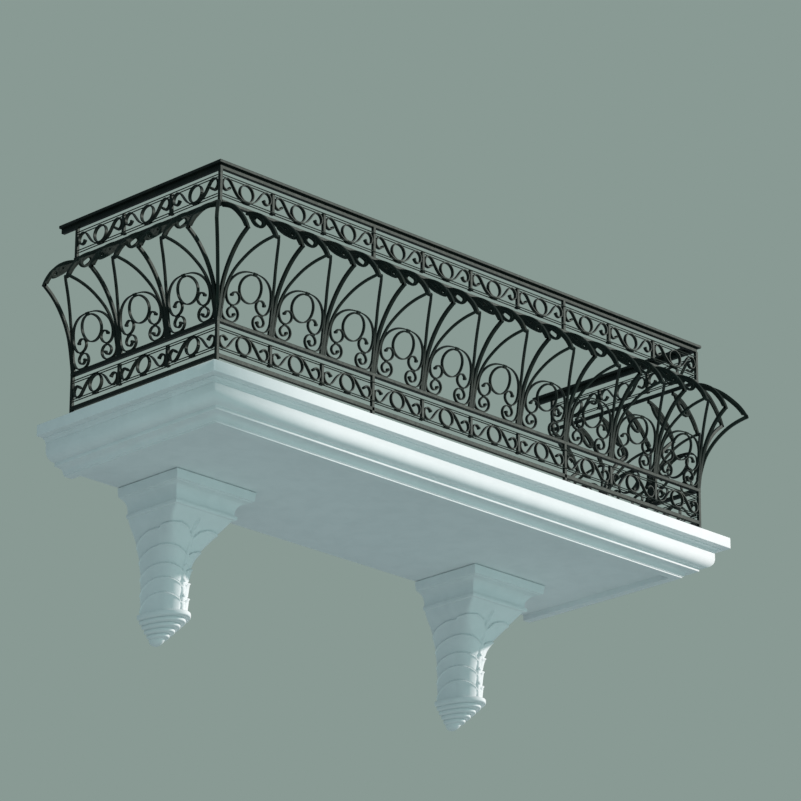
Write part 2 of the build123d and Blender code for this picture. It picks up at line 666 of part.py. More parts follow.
# ---------------------------------------------------------------- corner ribs
def corner_left():
    """Three ribs from one stem: one to the front, one to the side and one across the corner."""
    front = [(-a, b) for a, b in rib_outline(RAIL_D, FLARE_K)]
    side = [(-a, b) for a, b in rib_outline(RAIL_HALF, FLARE_K)]
    out = POST / 2 * math.sqrt(2)
    diag = [(-a, b) for a, b in rib_outline(out, FLARE_C * math.sqrt(2))]
    keep = block(-3000, FX0 + HALF_R, -3000, SY0 + HALF_R, MID_T, CREST_T)
    parts = [poly_prism(front, Plane.YZ.offset(FX0), HALF_R, both=True),
             poly_prism(side, Plane.XZ.offset(-SY0), HALF_R, both=True),
             poly_prism(diag, Plane.YZ, HALF_R, both=True).rotate(Axis.Z, -45).moved(Location((FX0, SY0, 0))),
             block(FX0 - HALF_P, FX0 + HALF_P, SY0 - HALF_P, SY0 + HALF_P, CREST_B - 12, CREST_T),
             block(FX0 - HALF_P, FX0 + HALF_P, SY0 - HALF_P, SY0 + HALF_P, MID_T, MID_T + 60)]
    return fuse_all([q for w in parts for q in common(w, keep)])


corner_raw = corner_left()
with BuildPart() as corner_ribs_left:
    add(corner_raw)
corner_ribs_left.part.label = "corner_ribs_left"
export_step(corner_ribs_left.part, "parts/corner_ribs_left.step")

with BuildPart() as corner_ribs_right:
    add(mirror(corner_raw, about=Plane.YZ))
corner_ribs_right.part.label = "corner_ribs_right"
export_step(corner_ribs_right.part, "parts/corner_ribs_right.step")
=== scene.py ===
import math

import bpy
import bmesh
import numpy as np
from mathutils import Matrix, Vector


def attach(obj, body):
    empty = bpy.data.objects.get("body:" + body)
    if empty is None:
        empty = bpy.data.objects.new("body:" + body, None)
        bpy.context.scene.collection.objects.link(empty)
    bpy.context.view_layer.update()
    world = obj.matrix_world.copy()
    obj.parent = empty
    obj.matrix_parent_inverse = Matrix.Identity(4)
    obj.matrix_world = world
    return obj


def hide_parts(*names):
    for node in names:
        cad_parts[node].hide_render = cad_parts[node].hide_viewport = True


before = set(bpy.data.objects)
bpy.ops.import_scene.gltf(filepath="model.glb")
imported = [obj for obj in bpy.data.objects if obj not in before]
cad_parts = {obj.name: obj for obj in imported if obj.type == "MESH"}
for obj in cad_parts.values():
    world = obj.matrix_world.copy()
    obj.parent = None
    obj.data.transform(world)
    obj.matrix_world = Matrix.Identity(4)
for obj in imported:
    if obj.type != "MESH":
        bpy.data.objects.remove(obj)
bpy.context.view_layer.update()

# ------------------------------------------------------------------ dimensions (mm)
# Heights are measured from the slab top, which is at z = TOP in the row frame.
TOP = 100.0
SLAB_HALF, SLAB_D = 1695.0, 1188.0
RAIL_HALF, RAIL_D = 1595.0, 1088.0
PITCH = 317.4
SPITCH = (1088.0 - 102.0 - 16.0) / 3
FX0, SY0 = -1587.0, -1080.0
FLARE_F, FLARE_S, FLARE_C = 203.0, 188.0, 176.0
COR_X = 961.0
POST = 16.0
BAR = 16.0            # depth of the frieze bars
Z_HAND, Z_HBAR, CAP_T, CAP_LIP = 1000.0, 965.0, 14.0, 12.0
W_UT, W_UB = 934.5, 842.5
W_LT, W_LB = 204.0, 113.5
CREST_T, CREST_B = 814.0, 800.0
MID_T, MID_B = 250.0, 234.0
BASE_T, BASE_B = 85.0, 66.0


# ------------------------------------------------------------------ small tools
def unit(a):
    return a / np.maximum(np.linalg.norm(a, axis=-1, keepdims=True), 1e-9)


def spline(pts, step=6.0, closed=False):
    """Natural cubic curve through the points, sampled at about equal steps."""
    p = np.asarray(pts, float)
    if closed:
        p = np.vstack([p[-3:], p, p[:4]])
    t = np.concatenate([[0], np.cumsum(np.sqrt(np.linalg.norm(np.diff(p, axis=0), axis=1)))])
    n = len(p)
    a = np.zeros((n, n))
    b = np.zeros((n, p.shape[1]))
    h = np.diff(t)
    a[0, 0] = a[-1, -1] = 1
    for i in range(1, n - 1):
        a[i, i - 1], a[i, i], a[i, i + 1] = h[i - 1], 2 * (h[i - 1] + h[i]), h[i]
        b[i] = 6 * ((p[i + 1] - p[i]) / h[i] - (p[i] - p[i - 1]) / h[i - 1])
    m = np.linalg.solve(a, b)

    def at(q):
        k = np.clip(np.searchsorted(t, q, side="right") - 1, 0, n - 2)
        hh = h[k][:, None]
        u, w = (t[k + 1] - q)[:, None], (q - t[k])[:, None]
        return (m[k] * u ** 3 + m[k + 1] * w ** 3) / (6 * hh) + (p[k] / hh - m[k] * hh / 6) * u \
            + (p[k + 1] / hh - m[k + 1] * hh / 6) * w

    t0, t1 = (t[3], t[-4]) if closed else (t[0], t[-1])
    q = np.linspace(t0, t1, 600)
    d = at(q)
    s = np.concatenate([[0], np.cumsum(np.linalg.norm(np.diff(d, axis=0), axis=1))])
    count = max(int(round(s[-1] / step)), 4)
    want = np.linspace(0, s[-1], count + 1)
    out = at(np.interp(want, s, q))
    return out[:-1] if closed else out


def rect(w, d, c=1.0, out=0.0):
    """Bar section with broken edges: across, outwards. The outer face is at out."""
    h = w / 2
    return np.array([(-h + c, out), (h - c, out), (h, out - c), (h, out - d + c), (h - c, out - d),
                     (-h + c, out - d), (-h, out - d + c), (-h, out - c)])


def round_poly(pts, radii, seg=4):
    """Closed polygon with its corners rounded."""
    pts = [np.array(q, float) for q in pts]
    out = []
    n = len(pts)
    for i, p in enumerate(pts):
        r = radii[i] if isinstance(radii, (list, tuple)) else radii
        a, b = pts[i - 1], pts[(i + 1) % n]
        u, v = unit(a - p), unit(b - p)
        r = min(r, np.linalg.norm(a - p) * 0.49, np.linalg.norm(b - p) * 0.49)
        cosang = float(np.dot(u, v))
        if r < 0.05 or cosang < -0.995:
            out.append(p)
            continue
        for j in range(seg + 1):
            k = j / seg
            out.append((1 - k) ** 2 * (p + u * r) + 2 * k * (1 - k) * p + k * k * (p + v * r))
    return out


def sweep(path, up, sec, closed=False, scale=None):
    """Mesh of a section carried along a path. up is the outward direction at each point."""
    p = np.asarray(path, float)
    n, m = len(p), len(sec)
    if closed:
        t = np.roll(p, -1, 0) - np.roll(p, 1, 0)
    else:
        t = np.gradient(p, axis=0)
    t = unit(t)
    u = np.broadcast_to(np.asarray(up, float), (n, 3))
    b = unit(np.cross(t, u))
    nn = np.cross(b, t)
    sx = np.ones(n) if scale is None else np.asarray(scale, float)
    s = np.asarray(sec, float)
    v = p[:, None, :] + b[:, None, :] * (s[None, :, :1] * sx[:, None, None]) + nn[:, None, :] * s[None, :, 1:]
    f = []
    last = n if closed else n - 1
    for i in range(last):
        i2 = (i + 1) % n
        for j in range(m):
            j2 = (j + 1) % m
            f.append((i * m + j, i * m + j2, i2 * m + j2, i2 * m + j))
    if not closed:
        f.append(tuple(range(m)))
        f.append(tuple((n - 1) * m + j for j in reversed(range(m))))
    return v.reshape(-1, 3), f


def boss(centre, axis, r, depth, seg=18, edge=1.2):
    """Short round stub: centre of its outer face, outward axis, radius, depth."""
    a = unit(np.asarray(axis, float))
    x = unit(np.cross(a, [0.3, 0.9, 0.31]))
    y = np.cross(a, x)
    rows = [(r - edge, 0), (r, -edge), (r, -depth + edge), (r - edge, -depth)]
    v = [np.asarray(centre) + (x * math.cos(2 * math.pi * k / seg) + y * math.sin(2 * math.pi * k / seg)) * rr + a * h
         for rr, h in rows for k in range(seg)]
    f = []
    for i in range(len(rows) - 1):
        for k in range(seg):
            k2 = (k + 1) % seg
            f.append((i * seg + k, i * seg + k2, (i + 1) * seg + k2, (i + 1) * seg + k))
    f.append(tuple(reversed(range(seg))))
    f.append(tuple((len(rows) - 1) * seg + k for k in range(seg)))
    return np.array(v), f


def plate(outlines, thick, bevel):
    """Filled outline with holes, edges rounded: x, y in the outline's plane, z across."""
    cu = bpy.data.curves.new("plate_tmp", "CURVE")
    cu.dimensions = "2D"
    cu.fill_mode = "BOTH"
    cu.extrude = thick / 2 - bevel
    cu.bevel_depth = bevel
    cu.bevel_resolution = 2
    cu.offset = -bevel
    for pts in outlines:
        sp = cu.splines.new("POLY")
        sp.points.add(len(pts) - 1)
        for k, q in enumerate(pts):
            sp.points[k].co = (q[0], q[1], 0, 1)
        sp.use_cyclic_u = True
    ob = bpy.data.objects.new("plate_tmp", cu)
    bpy.context.scene.collection.objects.link(ob)
    dg = bpy.context.evaluated_depsgraph_get()
    me = bpy.data.meshes.new_from_object(ob.evaluated_get(dg))
    v = np.array([q.co[:] for q in me.vertices])
    f = [tuple(q.vertices) for q in me.polygons]
    bpy.data.objects.remove(ob)
    bpy.data.meshes.remove(me)
    bpy.data.curves.remove(cu)
    return v, f


def soften(me):
    """Turns the shading gently round the slab's outer corners, as hand-rubbed render does."""
    norms = []
    for lp in me.loops:
        n = np.array(me.corner_normals[lp.index].vector[:])
        x, y, _ = np.array(me.vertices[lp.vertex_index].co[:]) * 1000.0
        hm = math.hypot(n[0], n[1])
        from_front = (SLAB_HALF - abs(x)) - (SLAB_D - abs(y))
        sx = math.copysign(1.0, x)
        if hm > 0.05 and (n[1] < -0.05 or n[0] * sx > 0.05) and y < -1.0 - 1e-3:
            if -n[1] >= n[0] * sx:
                face, t = np.array([0.0, -1.0]), from_front / 750.0
            else:
                face, t = np.array([sx, 0.0]), -from_front / 1188.0
            t = min(max(t, 0.0), 1.0)
            h2 = unit((1 - t) * np.array([sx, -1.0]) * math.sqrt(0.5) + t * face) * hm
            n = np.array([h2[0], h2[1], n[2]])
        norms.append(tuple(unit(n)))
    me.normals_split_custom_set(norms)


class Piece:
    """Gathers geometry in mm, then makes one object in metres."""
    def __init__(self, name, nodes, mat, slot, angle=32, soft=False):
        self.name, self.nodes, self.mat, self.slot, self.angle = name, nodes, mat, slot, angle
        self.soft = soft
        self.v, self.f, self.n, self.mi = [], [], 0, []

    def add(self, geo, place=None, mi=0):
        v, f = geo
        self.mi.extend([mi] * len(f))
        v = np.asarray(v, float)
        if place is not None:
            v = place(v)
        self.v.append(v)
        self.f.extend([tuple(i + self.n for i in q) for q in f])
        self.n += len(v)

    def make(self):
        me = bpy.data.meshes.new(self.name)
        me.from_pydata((np.vstack(self.v) * 0.001).tolist(), [], self.f)
        me.materials.append(self.mat)
        if any(self.mi):
            # material index 1 is the rough cast iron; index 2 is the lighter vein iron, a painted highlight on the
            # raised veins
            for extra in (IRON_ROUGH, IRON_VEIN_HIGHLIGHT):
                me.materials.append(extra)
            me.polygons.foreach_set("material_index", self.mi)
        me.update()
        bm = bmesh.new()
        bm.from_mesh(me)
        bmesh.ops.remove_doubles(bm, verts=bm.verts, dist=1e-6)
        bmesh.ops.dissolve_degenerate(bm, edges=bm.edges, dist=1e-6)
        bmesh.ops.recalc_face_normals(bm, faces=bm.faces)
        bm.to_mesh(me)
        bm.free()
        me.shade_smooth()
        me.set_sharp_from_angle(angle=math.radians(self.angle))
        if self.soft:
            soften(me)
        ob = bpy.data.objects.new(self.name, me)
        bpy.context.scene.collection.objects.link(ob)
        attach(ob, "root")
        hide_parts(*self.nodes)
        return ob


# ------------------------------------------------------------------ camera
scene = bpy.context.scene
YAW, PITCH_A, ROLL = math.radians(44.6447), math.radians(20.5289), math.radians(0.3229)
cam = bpy.data.cameras.new("cam")
cam.lens = 193.77
cam.sensor_width = 36.0
cam.sensor_fit = "HORIZONTAL"
cam.clip_end = 200.0
cam_ob = bpy.data.objects.new("cam", cam)
scene.collection.objects.link(cam_ob)
d = Vector((math.sin(YAW) * math.cos(PITCH_A), math.cos(YAW) * math.cos(PITCH_A), math.sin(PITCH_A)))
r = Vector((math.cos(YAW), -math.sin(YAW), 0))
u = r.cross(d)
r2 = r * math.cos(ROLL) + u * math.sin(ROLL)
u2 = -r * math.sin(ROLL) + u * math.cos(ROLL)
rot = Matrix((r2, u2, -d)).transposed()
cam_ob.matrix_world = Matrix.Translation((-13.36834, -14.15387, -6.61566)) @ rot.to_4x4()
scene.camera = cam_ob

# ------------------------------------------------------------------ light
world = bpy.data.worlds.new("studio")
scene.world = world
world.use_nodes = True
wn, wl = world.node_tree.nodes, world.node_tree.links
wn.clear()
w_out = wn.new("ShaderNodeOutputWorld")
w_mix = wn.new("ShaderNodeMixShader")
w_amb = wn.new("ShaderNodeBackground")
w_bg = wn.new("ShaderNodeBackground")
w_path = wn.new("ShaderNodeLightPath")
w_tc = wn.new("ShaderNodeTexCoord")
w_sep = wn.new("ShaderNodeSeparateXYZ")
w_map = wn.new("ShaderNodeMapRange")
w_map.interpolation_type = "SMOOTHSTEP"
w_map.inputs["From Min"].default_value = -0.45
w_map.inputs["From Max"].default_value = 0.45
w_col = wn.new("ShaderNodeMix")
w_col.data_type = "RGBA"
w_col.inputs[6].default_value = (0.405, 0.56, 0.56, 1)
w_col.inputs[7].default_value = (0.17, 0.20, 0.225, 1)
wl.new(w_tc.outputs["Generated"], w_sep.inputs[0])
wl.new(w_sep.outputs["Y"], w_map.inputs["Value"])
wl.new(w_map.outputs["Result"], w_col.inputs[0])
wl.new(w_col.outputs[2], w_amb.inputs["Color"])
w_bg.inputs["Color"].default_value = (0.250, 0.323, 0.296, 1)
wl.new(w_path.outputs["Is Camera Ray"], w_mix.inputs[0])
wl.new(w_amb.outputs[0], w_mix.inputs[1])
wl.new(w_bg.outputs[0], w_mix.inputs[2])
wl.new(w_mix.outputs[0], w_out.inputs["Surface"])

sun = bpy.data.lights.new("sun", "SUN")
sun.energy = 3.0
sun.angle = math.radians(1.0)
sun.color = (1.0, 0.87, 0.855)
sun_ob = bpy.data.objects.new("sun", sun)
to_sun = Vector((0.85, -1.0, 0.475)).normalized()
sun_ob.rotation_mode = "QUATERNION"
sun_ob.rotation_quaternion = to_sun.to_track_quat("Z", "Y")
scene.collection.objects.link(sun_ob)
scene.view_settings.view_transform = "Standard"


# ------------------------------------------------------------------ materials
def nodes_of(name):
    m = bpy.data.materials.new(name)
    m.use_nodes = True
    nt = m.node_tree
    nt.nodes.clear()
    out = nt.nodes.new("ShaderNodeOutputMaterial")
    bs = nt.nodes.new("ShaderNodeBsdfPrincipled")
    nt.links.new(bs.outputs[0], out.inputs[0])
    tc = nt.nodes.new("ShaderNodeTexCoord")
    return m, nt, bs, tc.outputs["Object"]


def noise(nt, co, scale, detail=4.0, rough=0.55, distortion=0.0):
    n = nt.nodes.new("ShaderNodeTexNoise")
    n.inputs["Scale"].default_value = scale
    n.inputs["Detail"].default_value = detail
    n.inputs["Roughness"].default_value = rough
    n.inputs["Distortion"].default_value = distortion
    nt.links.new(co, n.inputs["Vector"])
    return n.outputs["Fac"]


def ramp(nt, fac, stops):
    rp = nt.nodes.new("ShaderNodeValToRGB")
    els = rp.color_ramp.elements
    while len(els) < len(stops):
        els.new(0.5)
    for e, (pos, col) in zip(els, stops):
        e.position = pos
        e.color = (*col, 1) if len(col) == 3 else col
    nt.links.new(fac, rp.inputs[0])
    return rp.outputs[0]


def mix_rgb(nt, fac, a, b, mode="MIX"):
    mx = nt.nodes.new("ShaderNodeMix")
    mx.data_type = "RGBA"
    mx.blend_type = mode
    for sock, val in ((mx.inputs[0], fac), (mx.inputs[6], a), (mx.inputs[7], b)):
        if hasattr(val, "links"):
            nt.links.new(val, sock)
        else:
            sock.default_value = val if not isinstance(val, tuple) else (*val, 1)
    return mx.outputs[2]


def math_node(nt, op, a, b=0.0, clamp=False):
    mn = nt.nodes.new("ShaderNodeMath")
    mn.operation = op
    mn.use_clamp = clamp
    for sock, val in ((mn.inputs[0], a), (mn.inputs[1], b)):
        if hasattr(val, "links"):
            nt.links.new(val, sock)
        else:
            sock.default_value = val
    return mn.outputs[0]


def bump(nt, height, strength, dist, prev=None):
    b = nt.nodes.new("ShaderNodeBump")
    b.inputs["Strength"].default_value = strength
    b.inputs["Distance"].default_value = dist
    nt.links.new(height, b.inputs["Height"])
    if prev is not None:
        nt.links.new(prev, b.inputs["Normal"])
    return b.outputs[0]


def iron_material(name, tones, rough, level, pit=1.0):
    """Old dark paint on iron: three tones, roughness range, sheen and the depth of the pitting."""
    m, nt, bs, co = nodes_of(name)
    big = noise(nt, co, 14.0, 3.0)
    fine = noise(nt, co, 190.0, 5.0, 0.6)
    base = ramp(nt, big, [(0.32, tones[0]), (0.55, tones[1]), (0.75, tones[2])])
    geo = nt.nodes.new("ShaderNodeNewGeometry")
    sep = nt.nodes.new("ShaderNodeSeparateXYZ")
    nt.links.new(geo.outputs["Normal"], sep.inputs[0])
    up = math_node(nt, "MULTIPLY", math_node(nt, "SUBTRACT", sep.outputs["Z"], 0.8, True), 4.0, True)
    dust = math_node(nt, "MULTIPLY", up, ramp(nt, fine, [(0.35, (0.2,) * 3), (0.7, (0.7,) * 3)]), True)
    col = mix_rgb(nt, dust, base, (0.075, 0.075, 0.065))
    nt.links.new(col, bs.inputs["Base Color"])
    rgh = ramp(nt, noise(nt, co, 60.0, 4.0), [(0.3, (rough[0],) * 3), (0.7, (rough[1],) * 3)])
    nt.links.new(rgh, bs.inputs["Roughness"])
    bs.inputs["Specular IOR Level"].default_value = level
    bs.inputs["Specular Tint"].default_value = (0.72, 1.0, 0.88, 1)
    n1 = bump(nt, noise(nt, co, 75.0, 2.0), 0.15 * pit, 0.0008)
    n2 = bump(nt, fine, 0.2 * pit, 0.0003, n1)
    nt.links.new(n2, bs.inputs["Normal"])
    return m


def stone_material(name, tint, grain):
    m, nt, bs, co = nodes_of(name)
    broad = noise(nt, co, 2.2, 5.0, 0.55)
    patch = noise(nt, co, 11.0, 6.0, 0.6, 0.4)
    fine = noise(nt, co, grain, 6.0, 0.65)
    a = ramp(nt, broad, [(0.3, tuple(c * 0.965 for c in tint)), (0.7, tint)])
    b = ramp(nt, patch, [(0.34, (0.955, 0.96, 0.96)), (0.6, (1.0, 1.0, 1.0))])
    col = mix_rgb(nt, 1.0, a, b, "MULTIPLY")
    nt.links.new(col, bs.inputs["Base Color"])
    rgh = ramp(nt, patch, [(0.3, (0.70,) * 3), (0.7, (0.86,) * 3)])
    nt.links.new(rgh, bs.inputs["Roughness"])
    bs.inputs["Specular IOR Level"].default_value = 0.35
    n1 = bump(nt, patch, 0.07, 0.003)
    n2 = bump(nt, fine, 0.25, 0.0006, n1)
    nt.links.new(n2, bs.inputs["Normal"])
    return m


IRON = iron_material("iron", [(0.005, 0.0075, 0.0065), (0.009, 0.012, 0.010), (0.016, 0.018, 0.013)], (0.47, 0.53), 0.2)
IRON_ROUGH = iron_material("iron_rough", [(0.006, 0.009, 0.008), (0.011, 0.015, 0.013), (0.020, 0.022, 0.017)],
                           (0.70, 0.85), 0.22, 2.0)
# lighter tones for the raised relief veins on the crest ornaments: a painted highlight, standing in for the light the
# veins catch
IRON_VEIN_HIGHLIGHT = iron_material("iron_vein_highlight", [(0.011, 0.016, 0.014), (0.020, 0.026, 0.023), (0.031, 0.035, 0.029)],
                          (0.62, 0.75), 0.25, 2.0)
RENDER = stone_material("render", (0.81, 0.845, 0.85), 260.0)
STONE = stone_material("corbel_stone", (0.80, 0.845, 0.85), 340.0)


# ------------------------------------------------------------------ slab and mouldings
def run(section, side, half, depth, y_end=0.0):
    """Closed section (inset, height above the slab top) run along one side, with mitred corners."""
    n = len(section)
    v = []
    for i, z in section:
        if side == "front":
            hx = half - i
            for x in (-hx, -hx + 190, -hx + 380, -hx + 570, -hx + 760, hx - 760, hx - 570, hx - 380, hx - 190, hx):
                v.append((x, -(depth - i), TOP + z))
        else:
            k = -1 if side == "left" else 1
            for t in (0, 0.25, 0.5, 0.75, 1):
                v.append((k * (half - i), -(depth - i) * (1 - t) + y_end * t, TOP + z))
    m = len(v) // n
    f = [(m * j + a, m * j + a + 1, m * ((j + 1) % n) + a + 1, m * ((j + 1) % n) + a) for j in range(n) for a in range(m - 1)]
    f.append(tuple(m * j for j in range(n)))
    f.append(tuple(m * j + m - 1 for j in reversed(range(n))))
    return np.array(v, float), f


def arcs(p0, p1, c, n=8):
    """Quadratic curve from p0 to p1 pulled towards c."""
    p0, p1, c = map(lambda q: np.array(q, float), (p0, p1, c))
    return [tuple((1 - k) ** 2 * p0 + 2 * k * (1 - k) * c + k * k * p1) for k in np.linspace(0, 1, n)]


def slab_pieces():
    p = Piece("v_slab_top", ["slab_top"], RENDER, "render", soft=True)
    pts = round_poly([(0, 0), (0, -55), (250, -55), (250, 0)], [5, 3, 0, 0], 5)
    rows = [(q[0], q[1]) for q in pts]
    # one closed body: three outer sides by rows, flat top and bottom
    outer = [q for q in rows if q[0] < 240]
    prof = sorted(outer, key=lambda q: -q[1] * 1000 + (q[0] if q[1] < -27 else -q[0]))
    v, f = [], []
    n = len(prof)
    for i, z in prof:
        ring = []
        for cx, sx in ((-1, 1), (1, -1)):
            cr = 7.0
            hx, dy = SLAB_HALF - i, SLAB_D - i
            arc = []
            for k in range(5):
                a = math.pi / 2 * k / 4
                arc.append((cx * (hx - cr + cr * math.cos(a)), -(dy - cr + cr * math.sin(a))))
            ring.append(arc)
        hx = SLAB_HALF - i
        side = [-(SLAB_D - i) * k / 4 for k in range(4)]
        loop = [(-hx, y) for y in side] + ring[0]
        loop += [(q * hx, -(SLAB_D - i)) for q in (-1 + 190 / hx, -1 + 380 / hx, -1 + 570 / hx, -1 + 760 / hx)]
        loop += [(-a, b) for a, b in loop[::-1]]
        v += [(x, y, TOP + z) for x, y in loop]
    m = len(v) // n
    for j in range(n - 1):
        for k in range(m):
            k2 = (k + 1) % m
            f.append((j * m + k, j * m + k2, (j + 1) * m + k2, (j + 1) * m + k))
    f.append(tuple(range(m)))
    f.append(tuple((n - 1) * m + k for k in reversed(range(m))))
    p.add((np.array(v), f))
    p.make()

    prof = [(37.5, -55), (37.5, -58.6)]
    prof += arcs((39, -59.2), (51.5, -74), (50.5, -61.5), 8)
    prof += [(52.5, -75.3), (56, -75.3), (56, -108.5)]
    prof += arcs((56, -110), (109, -156.0), (59, -154.5), 16)
    prof += [(111, -156.8), (111, -171.6), (112.2, -172.8), (142, -174.6)]
    prof += arcs((144, -175.2), (164, -197.5), (161.5, -178), 8)
    prof += [(165.5, -198.8), (169, -199.4), (170, -200.4), (170, -205), (171, -206), (215, -206), (215, -55)]
    for side in ("front", "left", "right"):
        q = Piece("v_moulding_" + side, ["moulding_" + side], RENDER, "render", 24, True)
        q.add(run(prof, side, SLAB_HALF, SLAB_D))
        q.make()

    c = Piece("v_slab_core", ["slab_core"], RENDER, "render")
    x, y0, z0, z1 = SLAB_HALF - 215, -(SLAB_D - 215), TOP - 178, TOP - 55
    nx, ny = 24, 8
    v, f = [], []
    for z in (z0, z1):
        for j in range(ny + 1):
            for i in range(nx + 1):
                v.append((-x + 2 * x * i / nx, y0 * (1 - j / ny), z))
    w = nx + 1
    base = w * (ny + 1)
    for j in range(ny):
        for i in range(nx):
            a = j * w + i
            f.append((a, a + 1, a + w + 1, a + w))
            f.append((base + a, base + a + w, base + a + w + 1, base + a + 1))
    rim = [i for i in range(w)] + [j * w + nx for j in range(1, ny + 1)] + \
          [ny * w + i for i in range(nx - 1, -1, -1)] + [j * w for j in range(ny - 1, 0, -1)]
    for k in range(len(rim)):
        a, b = rim[k], rim[(k + 1) % len(rim)]
        f.append((a, b, base + b, base + a))
    c.add((np.array(v), f))
    c.make()


# ------------------------------------------------------------------ corbels
BODY = np.array([(314, 176, 330, 40.0), (350, 161, 291, 28.0), (394, 135, 257, 13.0), (461, 108, 227, 4.4),
                 (520, 95, 206, 2.7), (600, 87, 192, 2.4), (757, 84, 189, 2.35)], float)


def smooth_cols(table, x):
    """Smooth (monotone) interpolation of the table's columns over its first column."""
    t, y = table[:, 0], table[:, 1:]
    h = np.diff(t)
    dl = np.diff(y, axis=0) / h[:, None]
    m = np.zeros_like(y)
    for i in range(1, len(t) - 1):
        for k in range(y.shape[1]):
            if dl[i - 1, k] * dl[i, k] > 0:
                w1, w2 = 2 * h[i] + h[i - 1], h[i] + 2 * h[i - 1]
                m[i, k] = (w1 + w2) / (w1 / dl[i - 1, k] + w2 / dl[i, k])
    m[0], m[-1] = dl[0], dl[-1]
    x = np.atleast_1d(x).astype(float)
    i = np.clip(np.searchsorted(t, x, side="right") - 1, 0, len(t) - 2)
    u = ((x - t[i]) / h[i])[:, None]
    hh = h[i][:, None]
    return (2 * u ** 3 - 3 * u ** 2 + 1) * y[i] + (u ** 3 - 2 * u ** 2 + u) * hh * m[i] \
        + (-2 * u ** 3 + 3 * u ** 2) * y[i + 1] + (u ** 3 - u ** 2) * hh * m[i + 1]


def d_curve(w, dd, n, count):
    """Half superellipse against the wall, resampled evenly: points, outward normals, 0..1 from wall to spine."""
    a = np.linspace(0, math.pi, 721)
    c, s = np.cos(a), np.sin(a)
    x = w * np.sign(c) * np.abs(c) ** (2 / n)
    y = -dd * np.abs(s) ** (2 / n)
    p = np.stack([x, y], 1)
    ln = np.concatenate([[0], np.cumsum(np.linalg.norm(np.diff(p, axis=0), axis=1))])
    q = np.linspace(0, 1, count)
    q = 0.5 - 0.5 * np.sign(0.5 - q) * np.abs(1 - 2 * q) ** 0.92
    at = np.stack([np.interp(q * ln[-1], ln, p[:, k]) for k in (0, 1)], 1)
    t = unit(np.gradient(at, axis=0))
    nrm = np.stack([-t[:, 1], t[:, 0]], 1)
    nrm = nrm * np.where((nrm * (at - [0, -dd * 0.3])).sum(1) < 0, -1, 1)[:, None]
    nrm[0] = (1, 0)
    nrm[-1] = (-1, 0)
    return at, nrm, 1 - np.abs(2 * q - 1)


TIERS = [379.0, 455.0, 533.0, 596.0, 668.0, 745.0]


def carving(q, dep, sx, w):
    """Height of the carving: q from wall (0) to spine (1), depth, distance from the centre line."""
    h = np.zeros_like(q)
    e = np.clip(np.abs(q - 0.5) / 0.5, 0, 0.995)
    for k in range(5):
        reach = (58, 52, 50, 62, 66)[k]
        line = TIERS[k] + reach * (1 - np.sqrt(1 - e ** 2.2)) ** 0.9 * 1.15
        if k == 0:
            # on the front the top tier opens into a palmette
            leaf_line = np.interp(np.abs(sx), [0, 10, 18, 34, 62, 95, 125, 160], [426, 414, 404, 388, 376.5, 371, 377, 379])
            line = np.where(q > 0.5, leaf_line, line + 9.0 * np.clip((q - 0.28) / 0.2, 0, 1) * np.clip((0.5 - q) / 0.03, 0, 1))
        gap = TIERS[k + 1] - TIERS[k]
        below = dep - line
        inside = below > 0
        leaf = np.where(inside, 6.5 * np.clip(1 - below / (gap * 1.05), 0, 1) ** 1.25, 0)
        rim = 3.4 * np.exp(-((below - 5.0) / 3.8) ** 2) * inside
        groove = -3.8 * np.exp(-((below + 2.6) / 3.0) ** 2)
        h = np.where(inside, leaf, h) + rim + groove * np.clip((1.02 - e) * 6, 0, 1)
    # the leaves swell beside the spine and dip into it
    h = h + 3.6 * np.sin(np.clip((q - 0.5) / 0.5, 0, 1) * math.pi) * np.clip((dep - 470) / 90, 0, 1)
    # spine with a round back, from the palmette down to the ring
    sw = np.interp(dep, [345, 400, 470, 757], [4.5, 6.5, 10.5, 10.5])
    sh = np.interp(dep, [338, 352, 420, 480, 757], [0, 4.0, 6.0, 9.0, 9.5])
    prof = np.clip(1 - (np.abs(sx) / sw) ** 3, 0, 1) ** 0.5
    dip = -2.2 * np.exp(-((np.abs(sx) - sw - 2.5) / 2.5) ** 2) * np.clip((dep - 400) / 80, 0, 1)
    h = np.maximum(h, sh * prof) * (prof > 0) + (h + dip) * (prof <= 0)
    # stem of the palmette on the upper front face
    bend = sx + 6 + 6 * np.clip((dep - 341) / 60, 0, 1)
    on = np.clip((dep - 338) / 6, 0, 1) * np.clip((410 - dep) / 8, 0, 1) * (q > 0.5)
    h = h + (5.0 * np.exp(-((bend - 4) / 4.4) ** 2) - 8.0 * np.exp(-((bend + 5) / 4.4) ** 2)) * on
    fade = np.clip((dep - 318) / 16, 0, 1) * np.clip((758 - dep) / 6, 0, 1)
    return h * fade


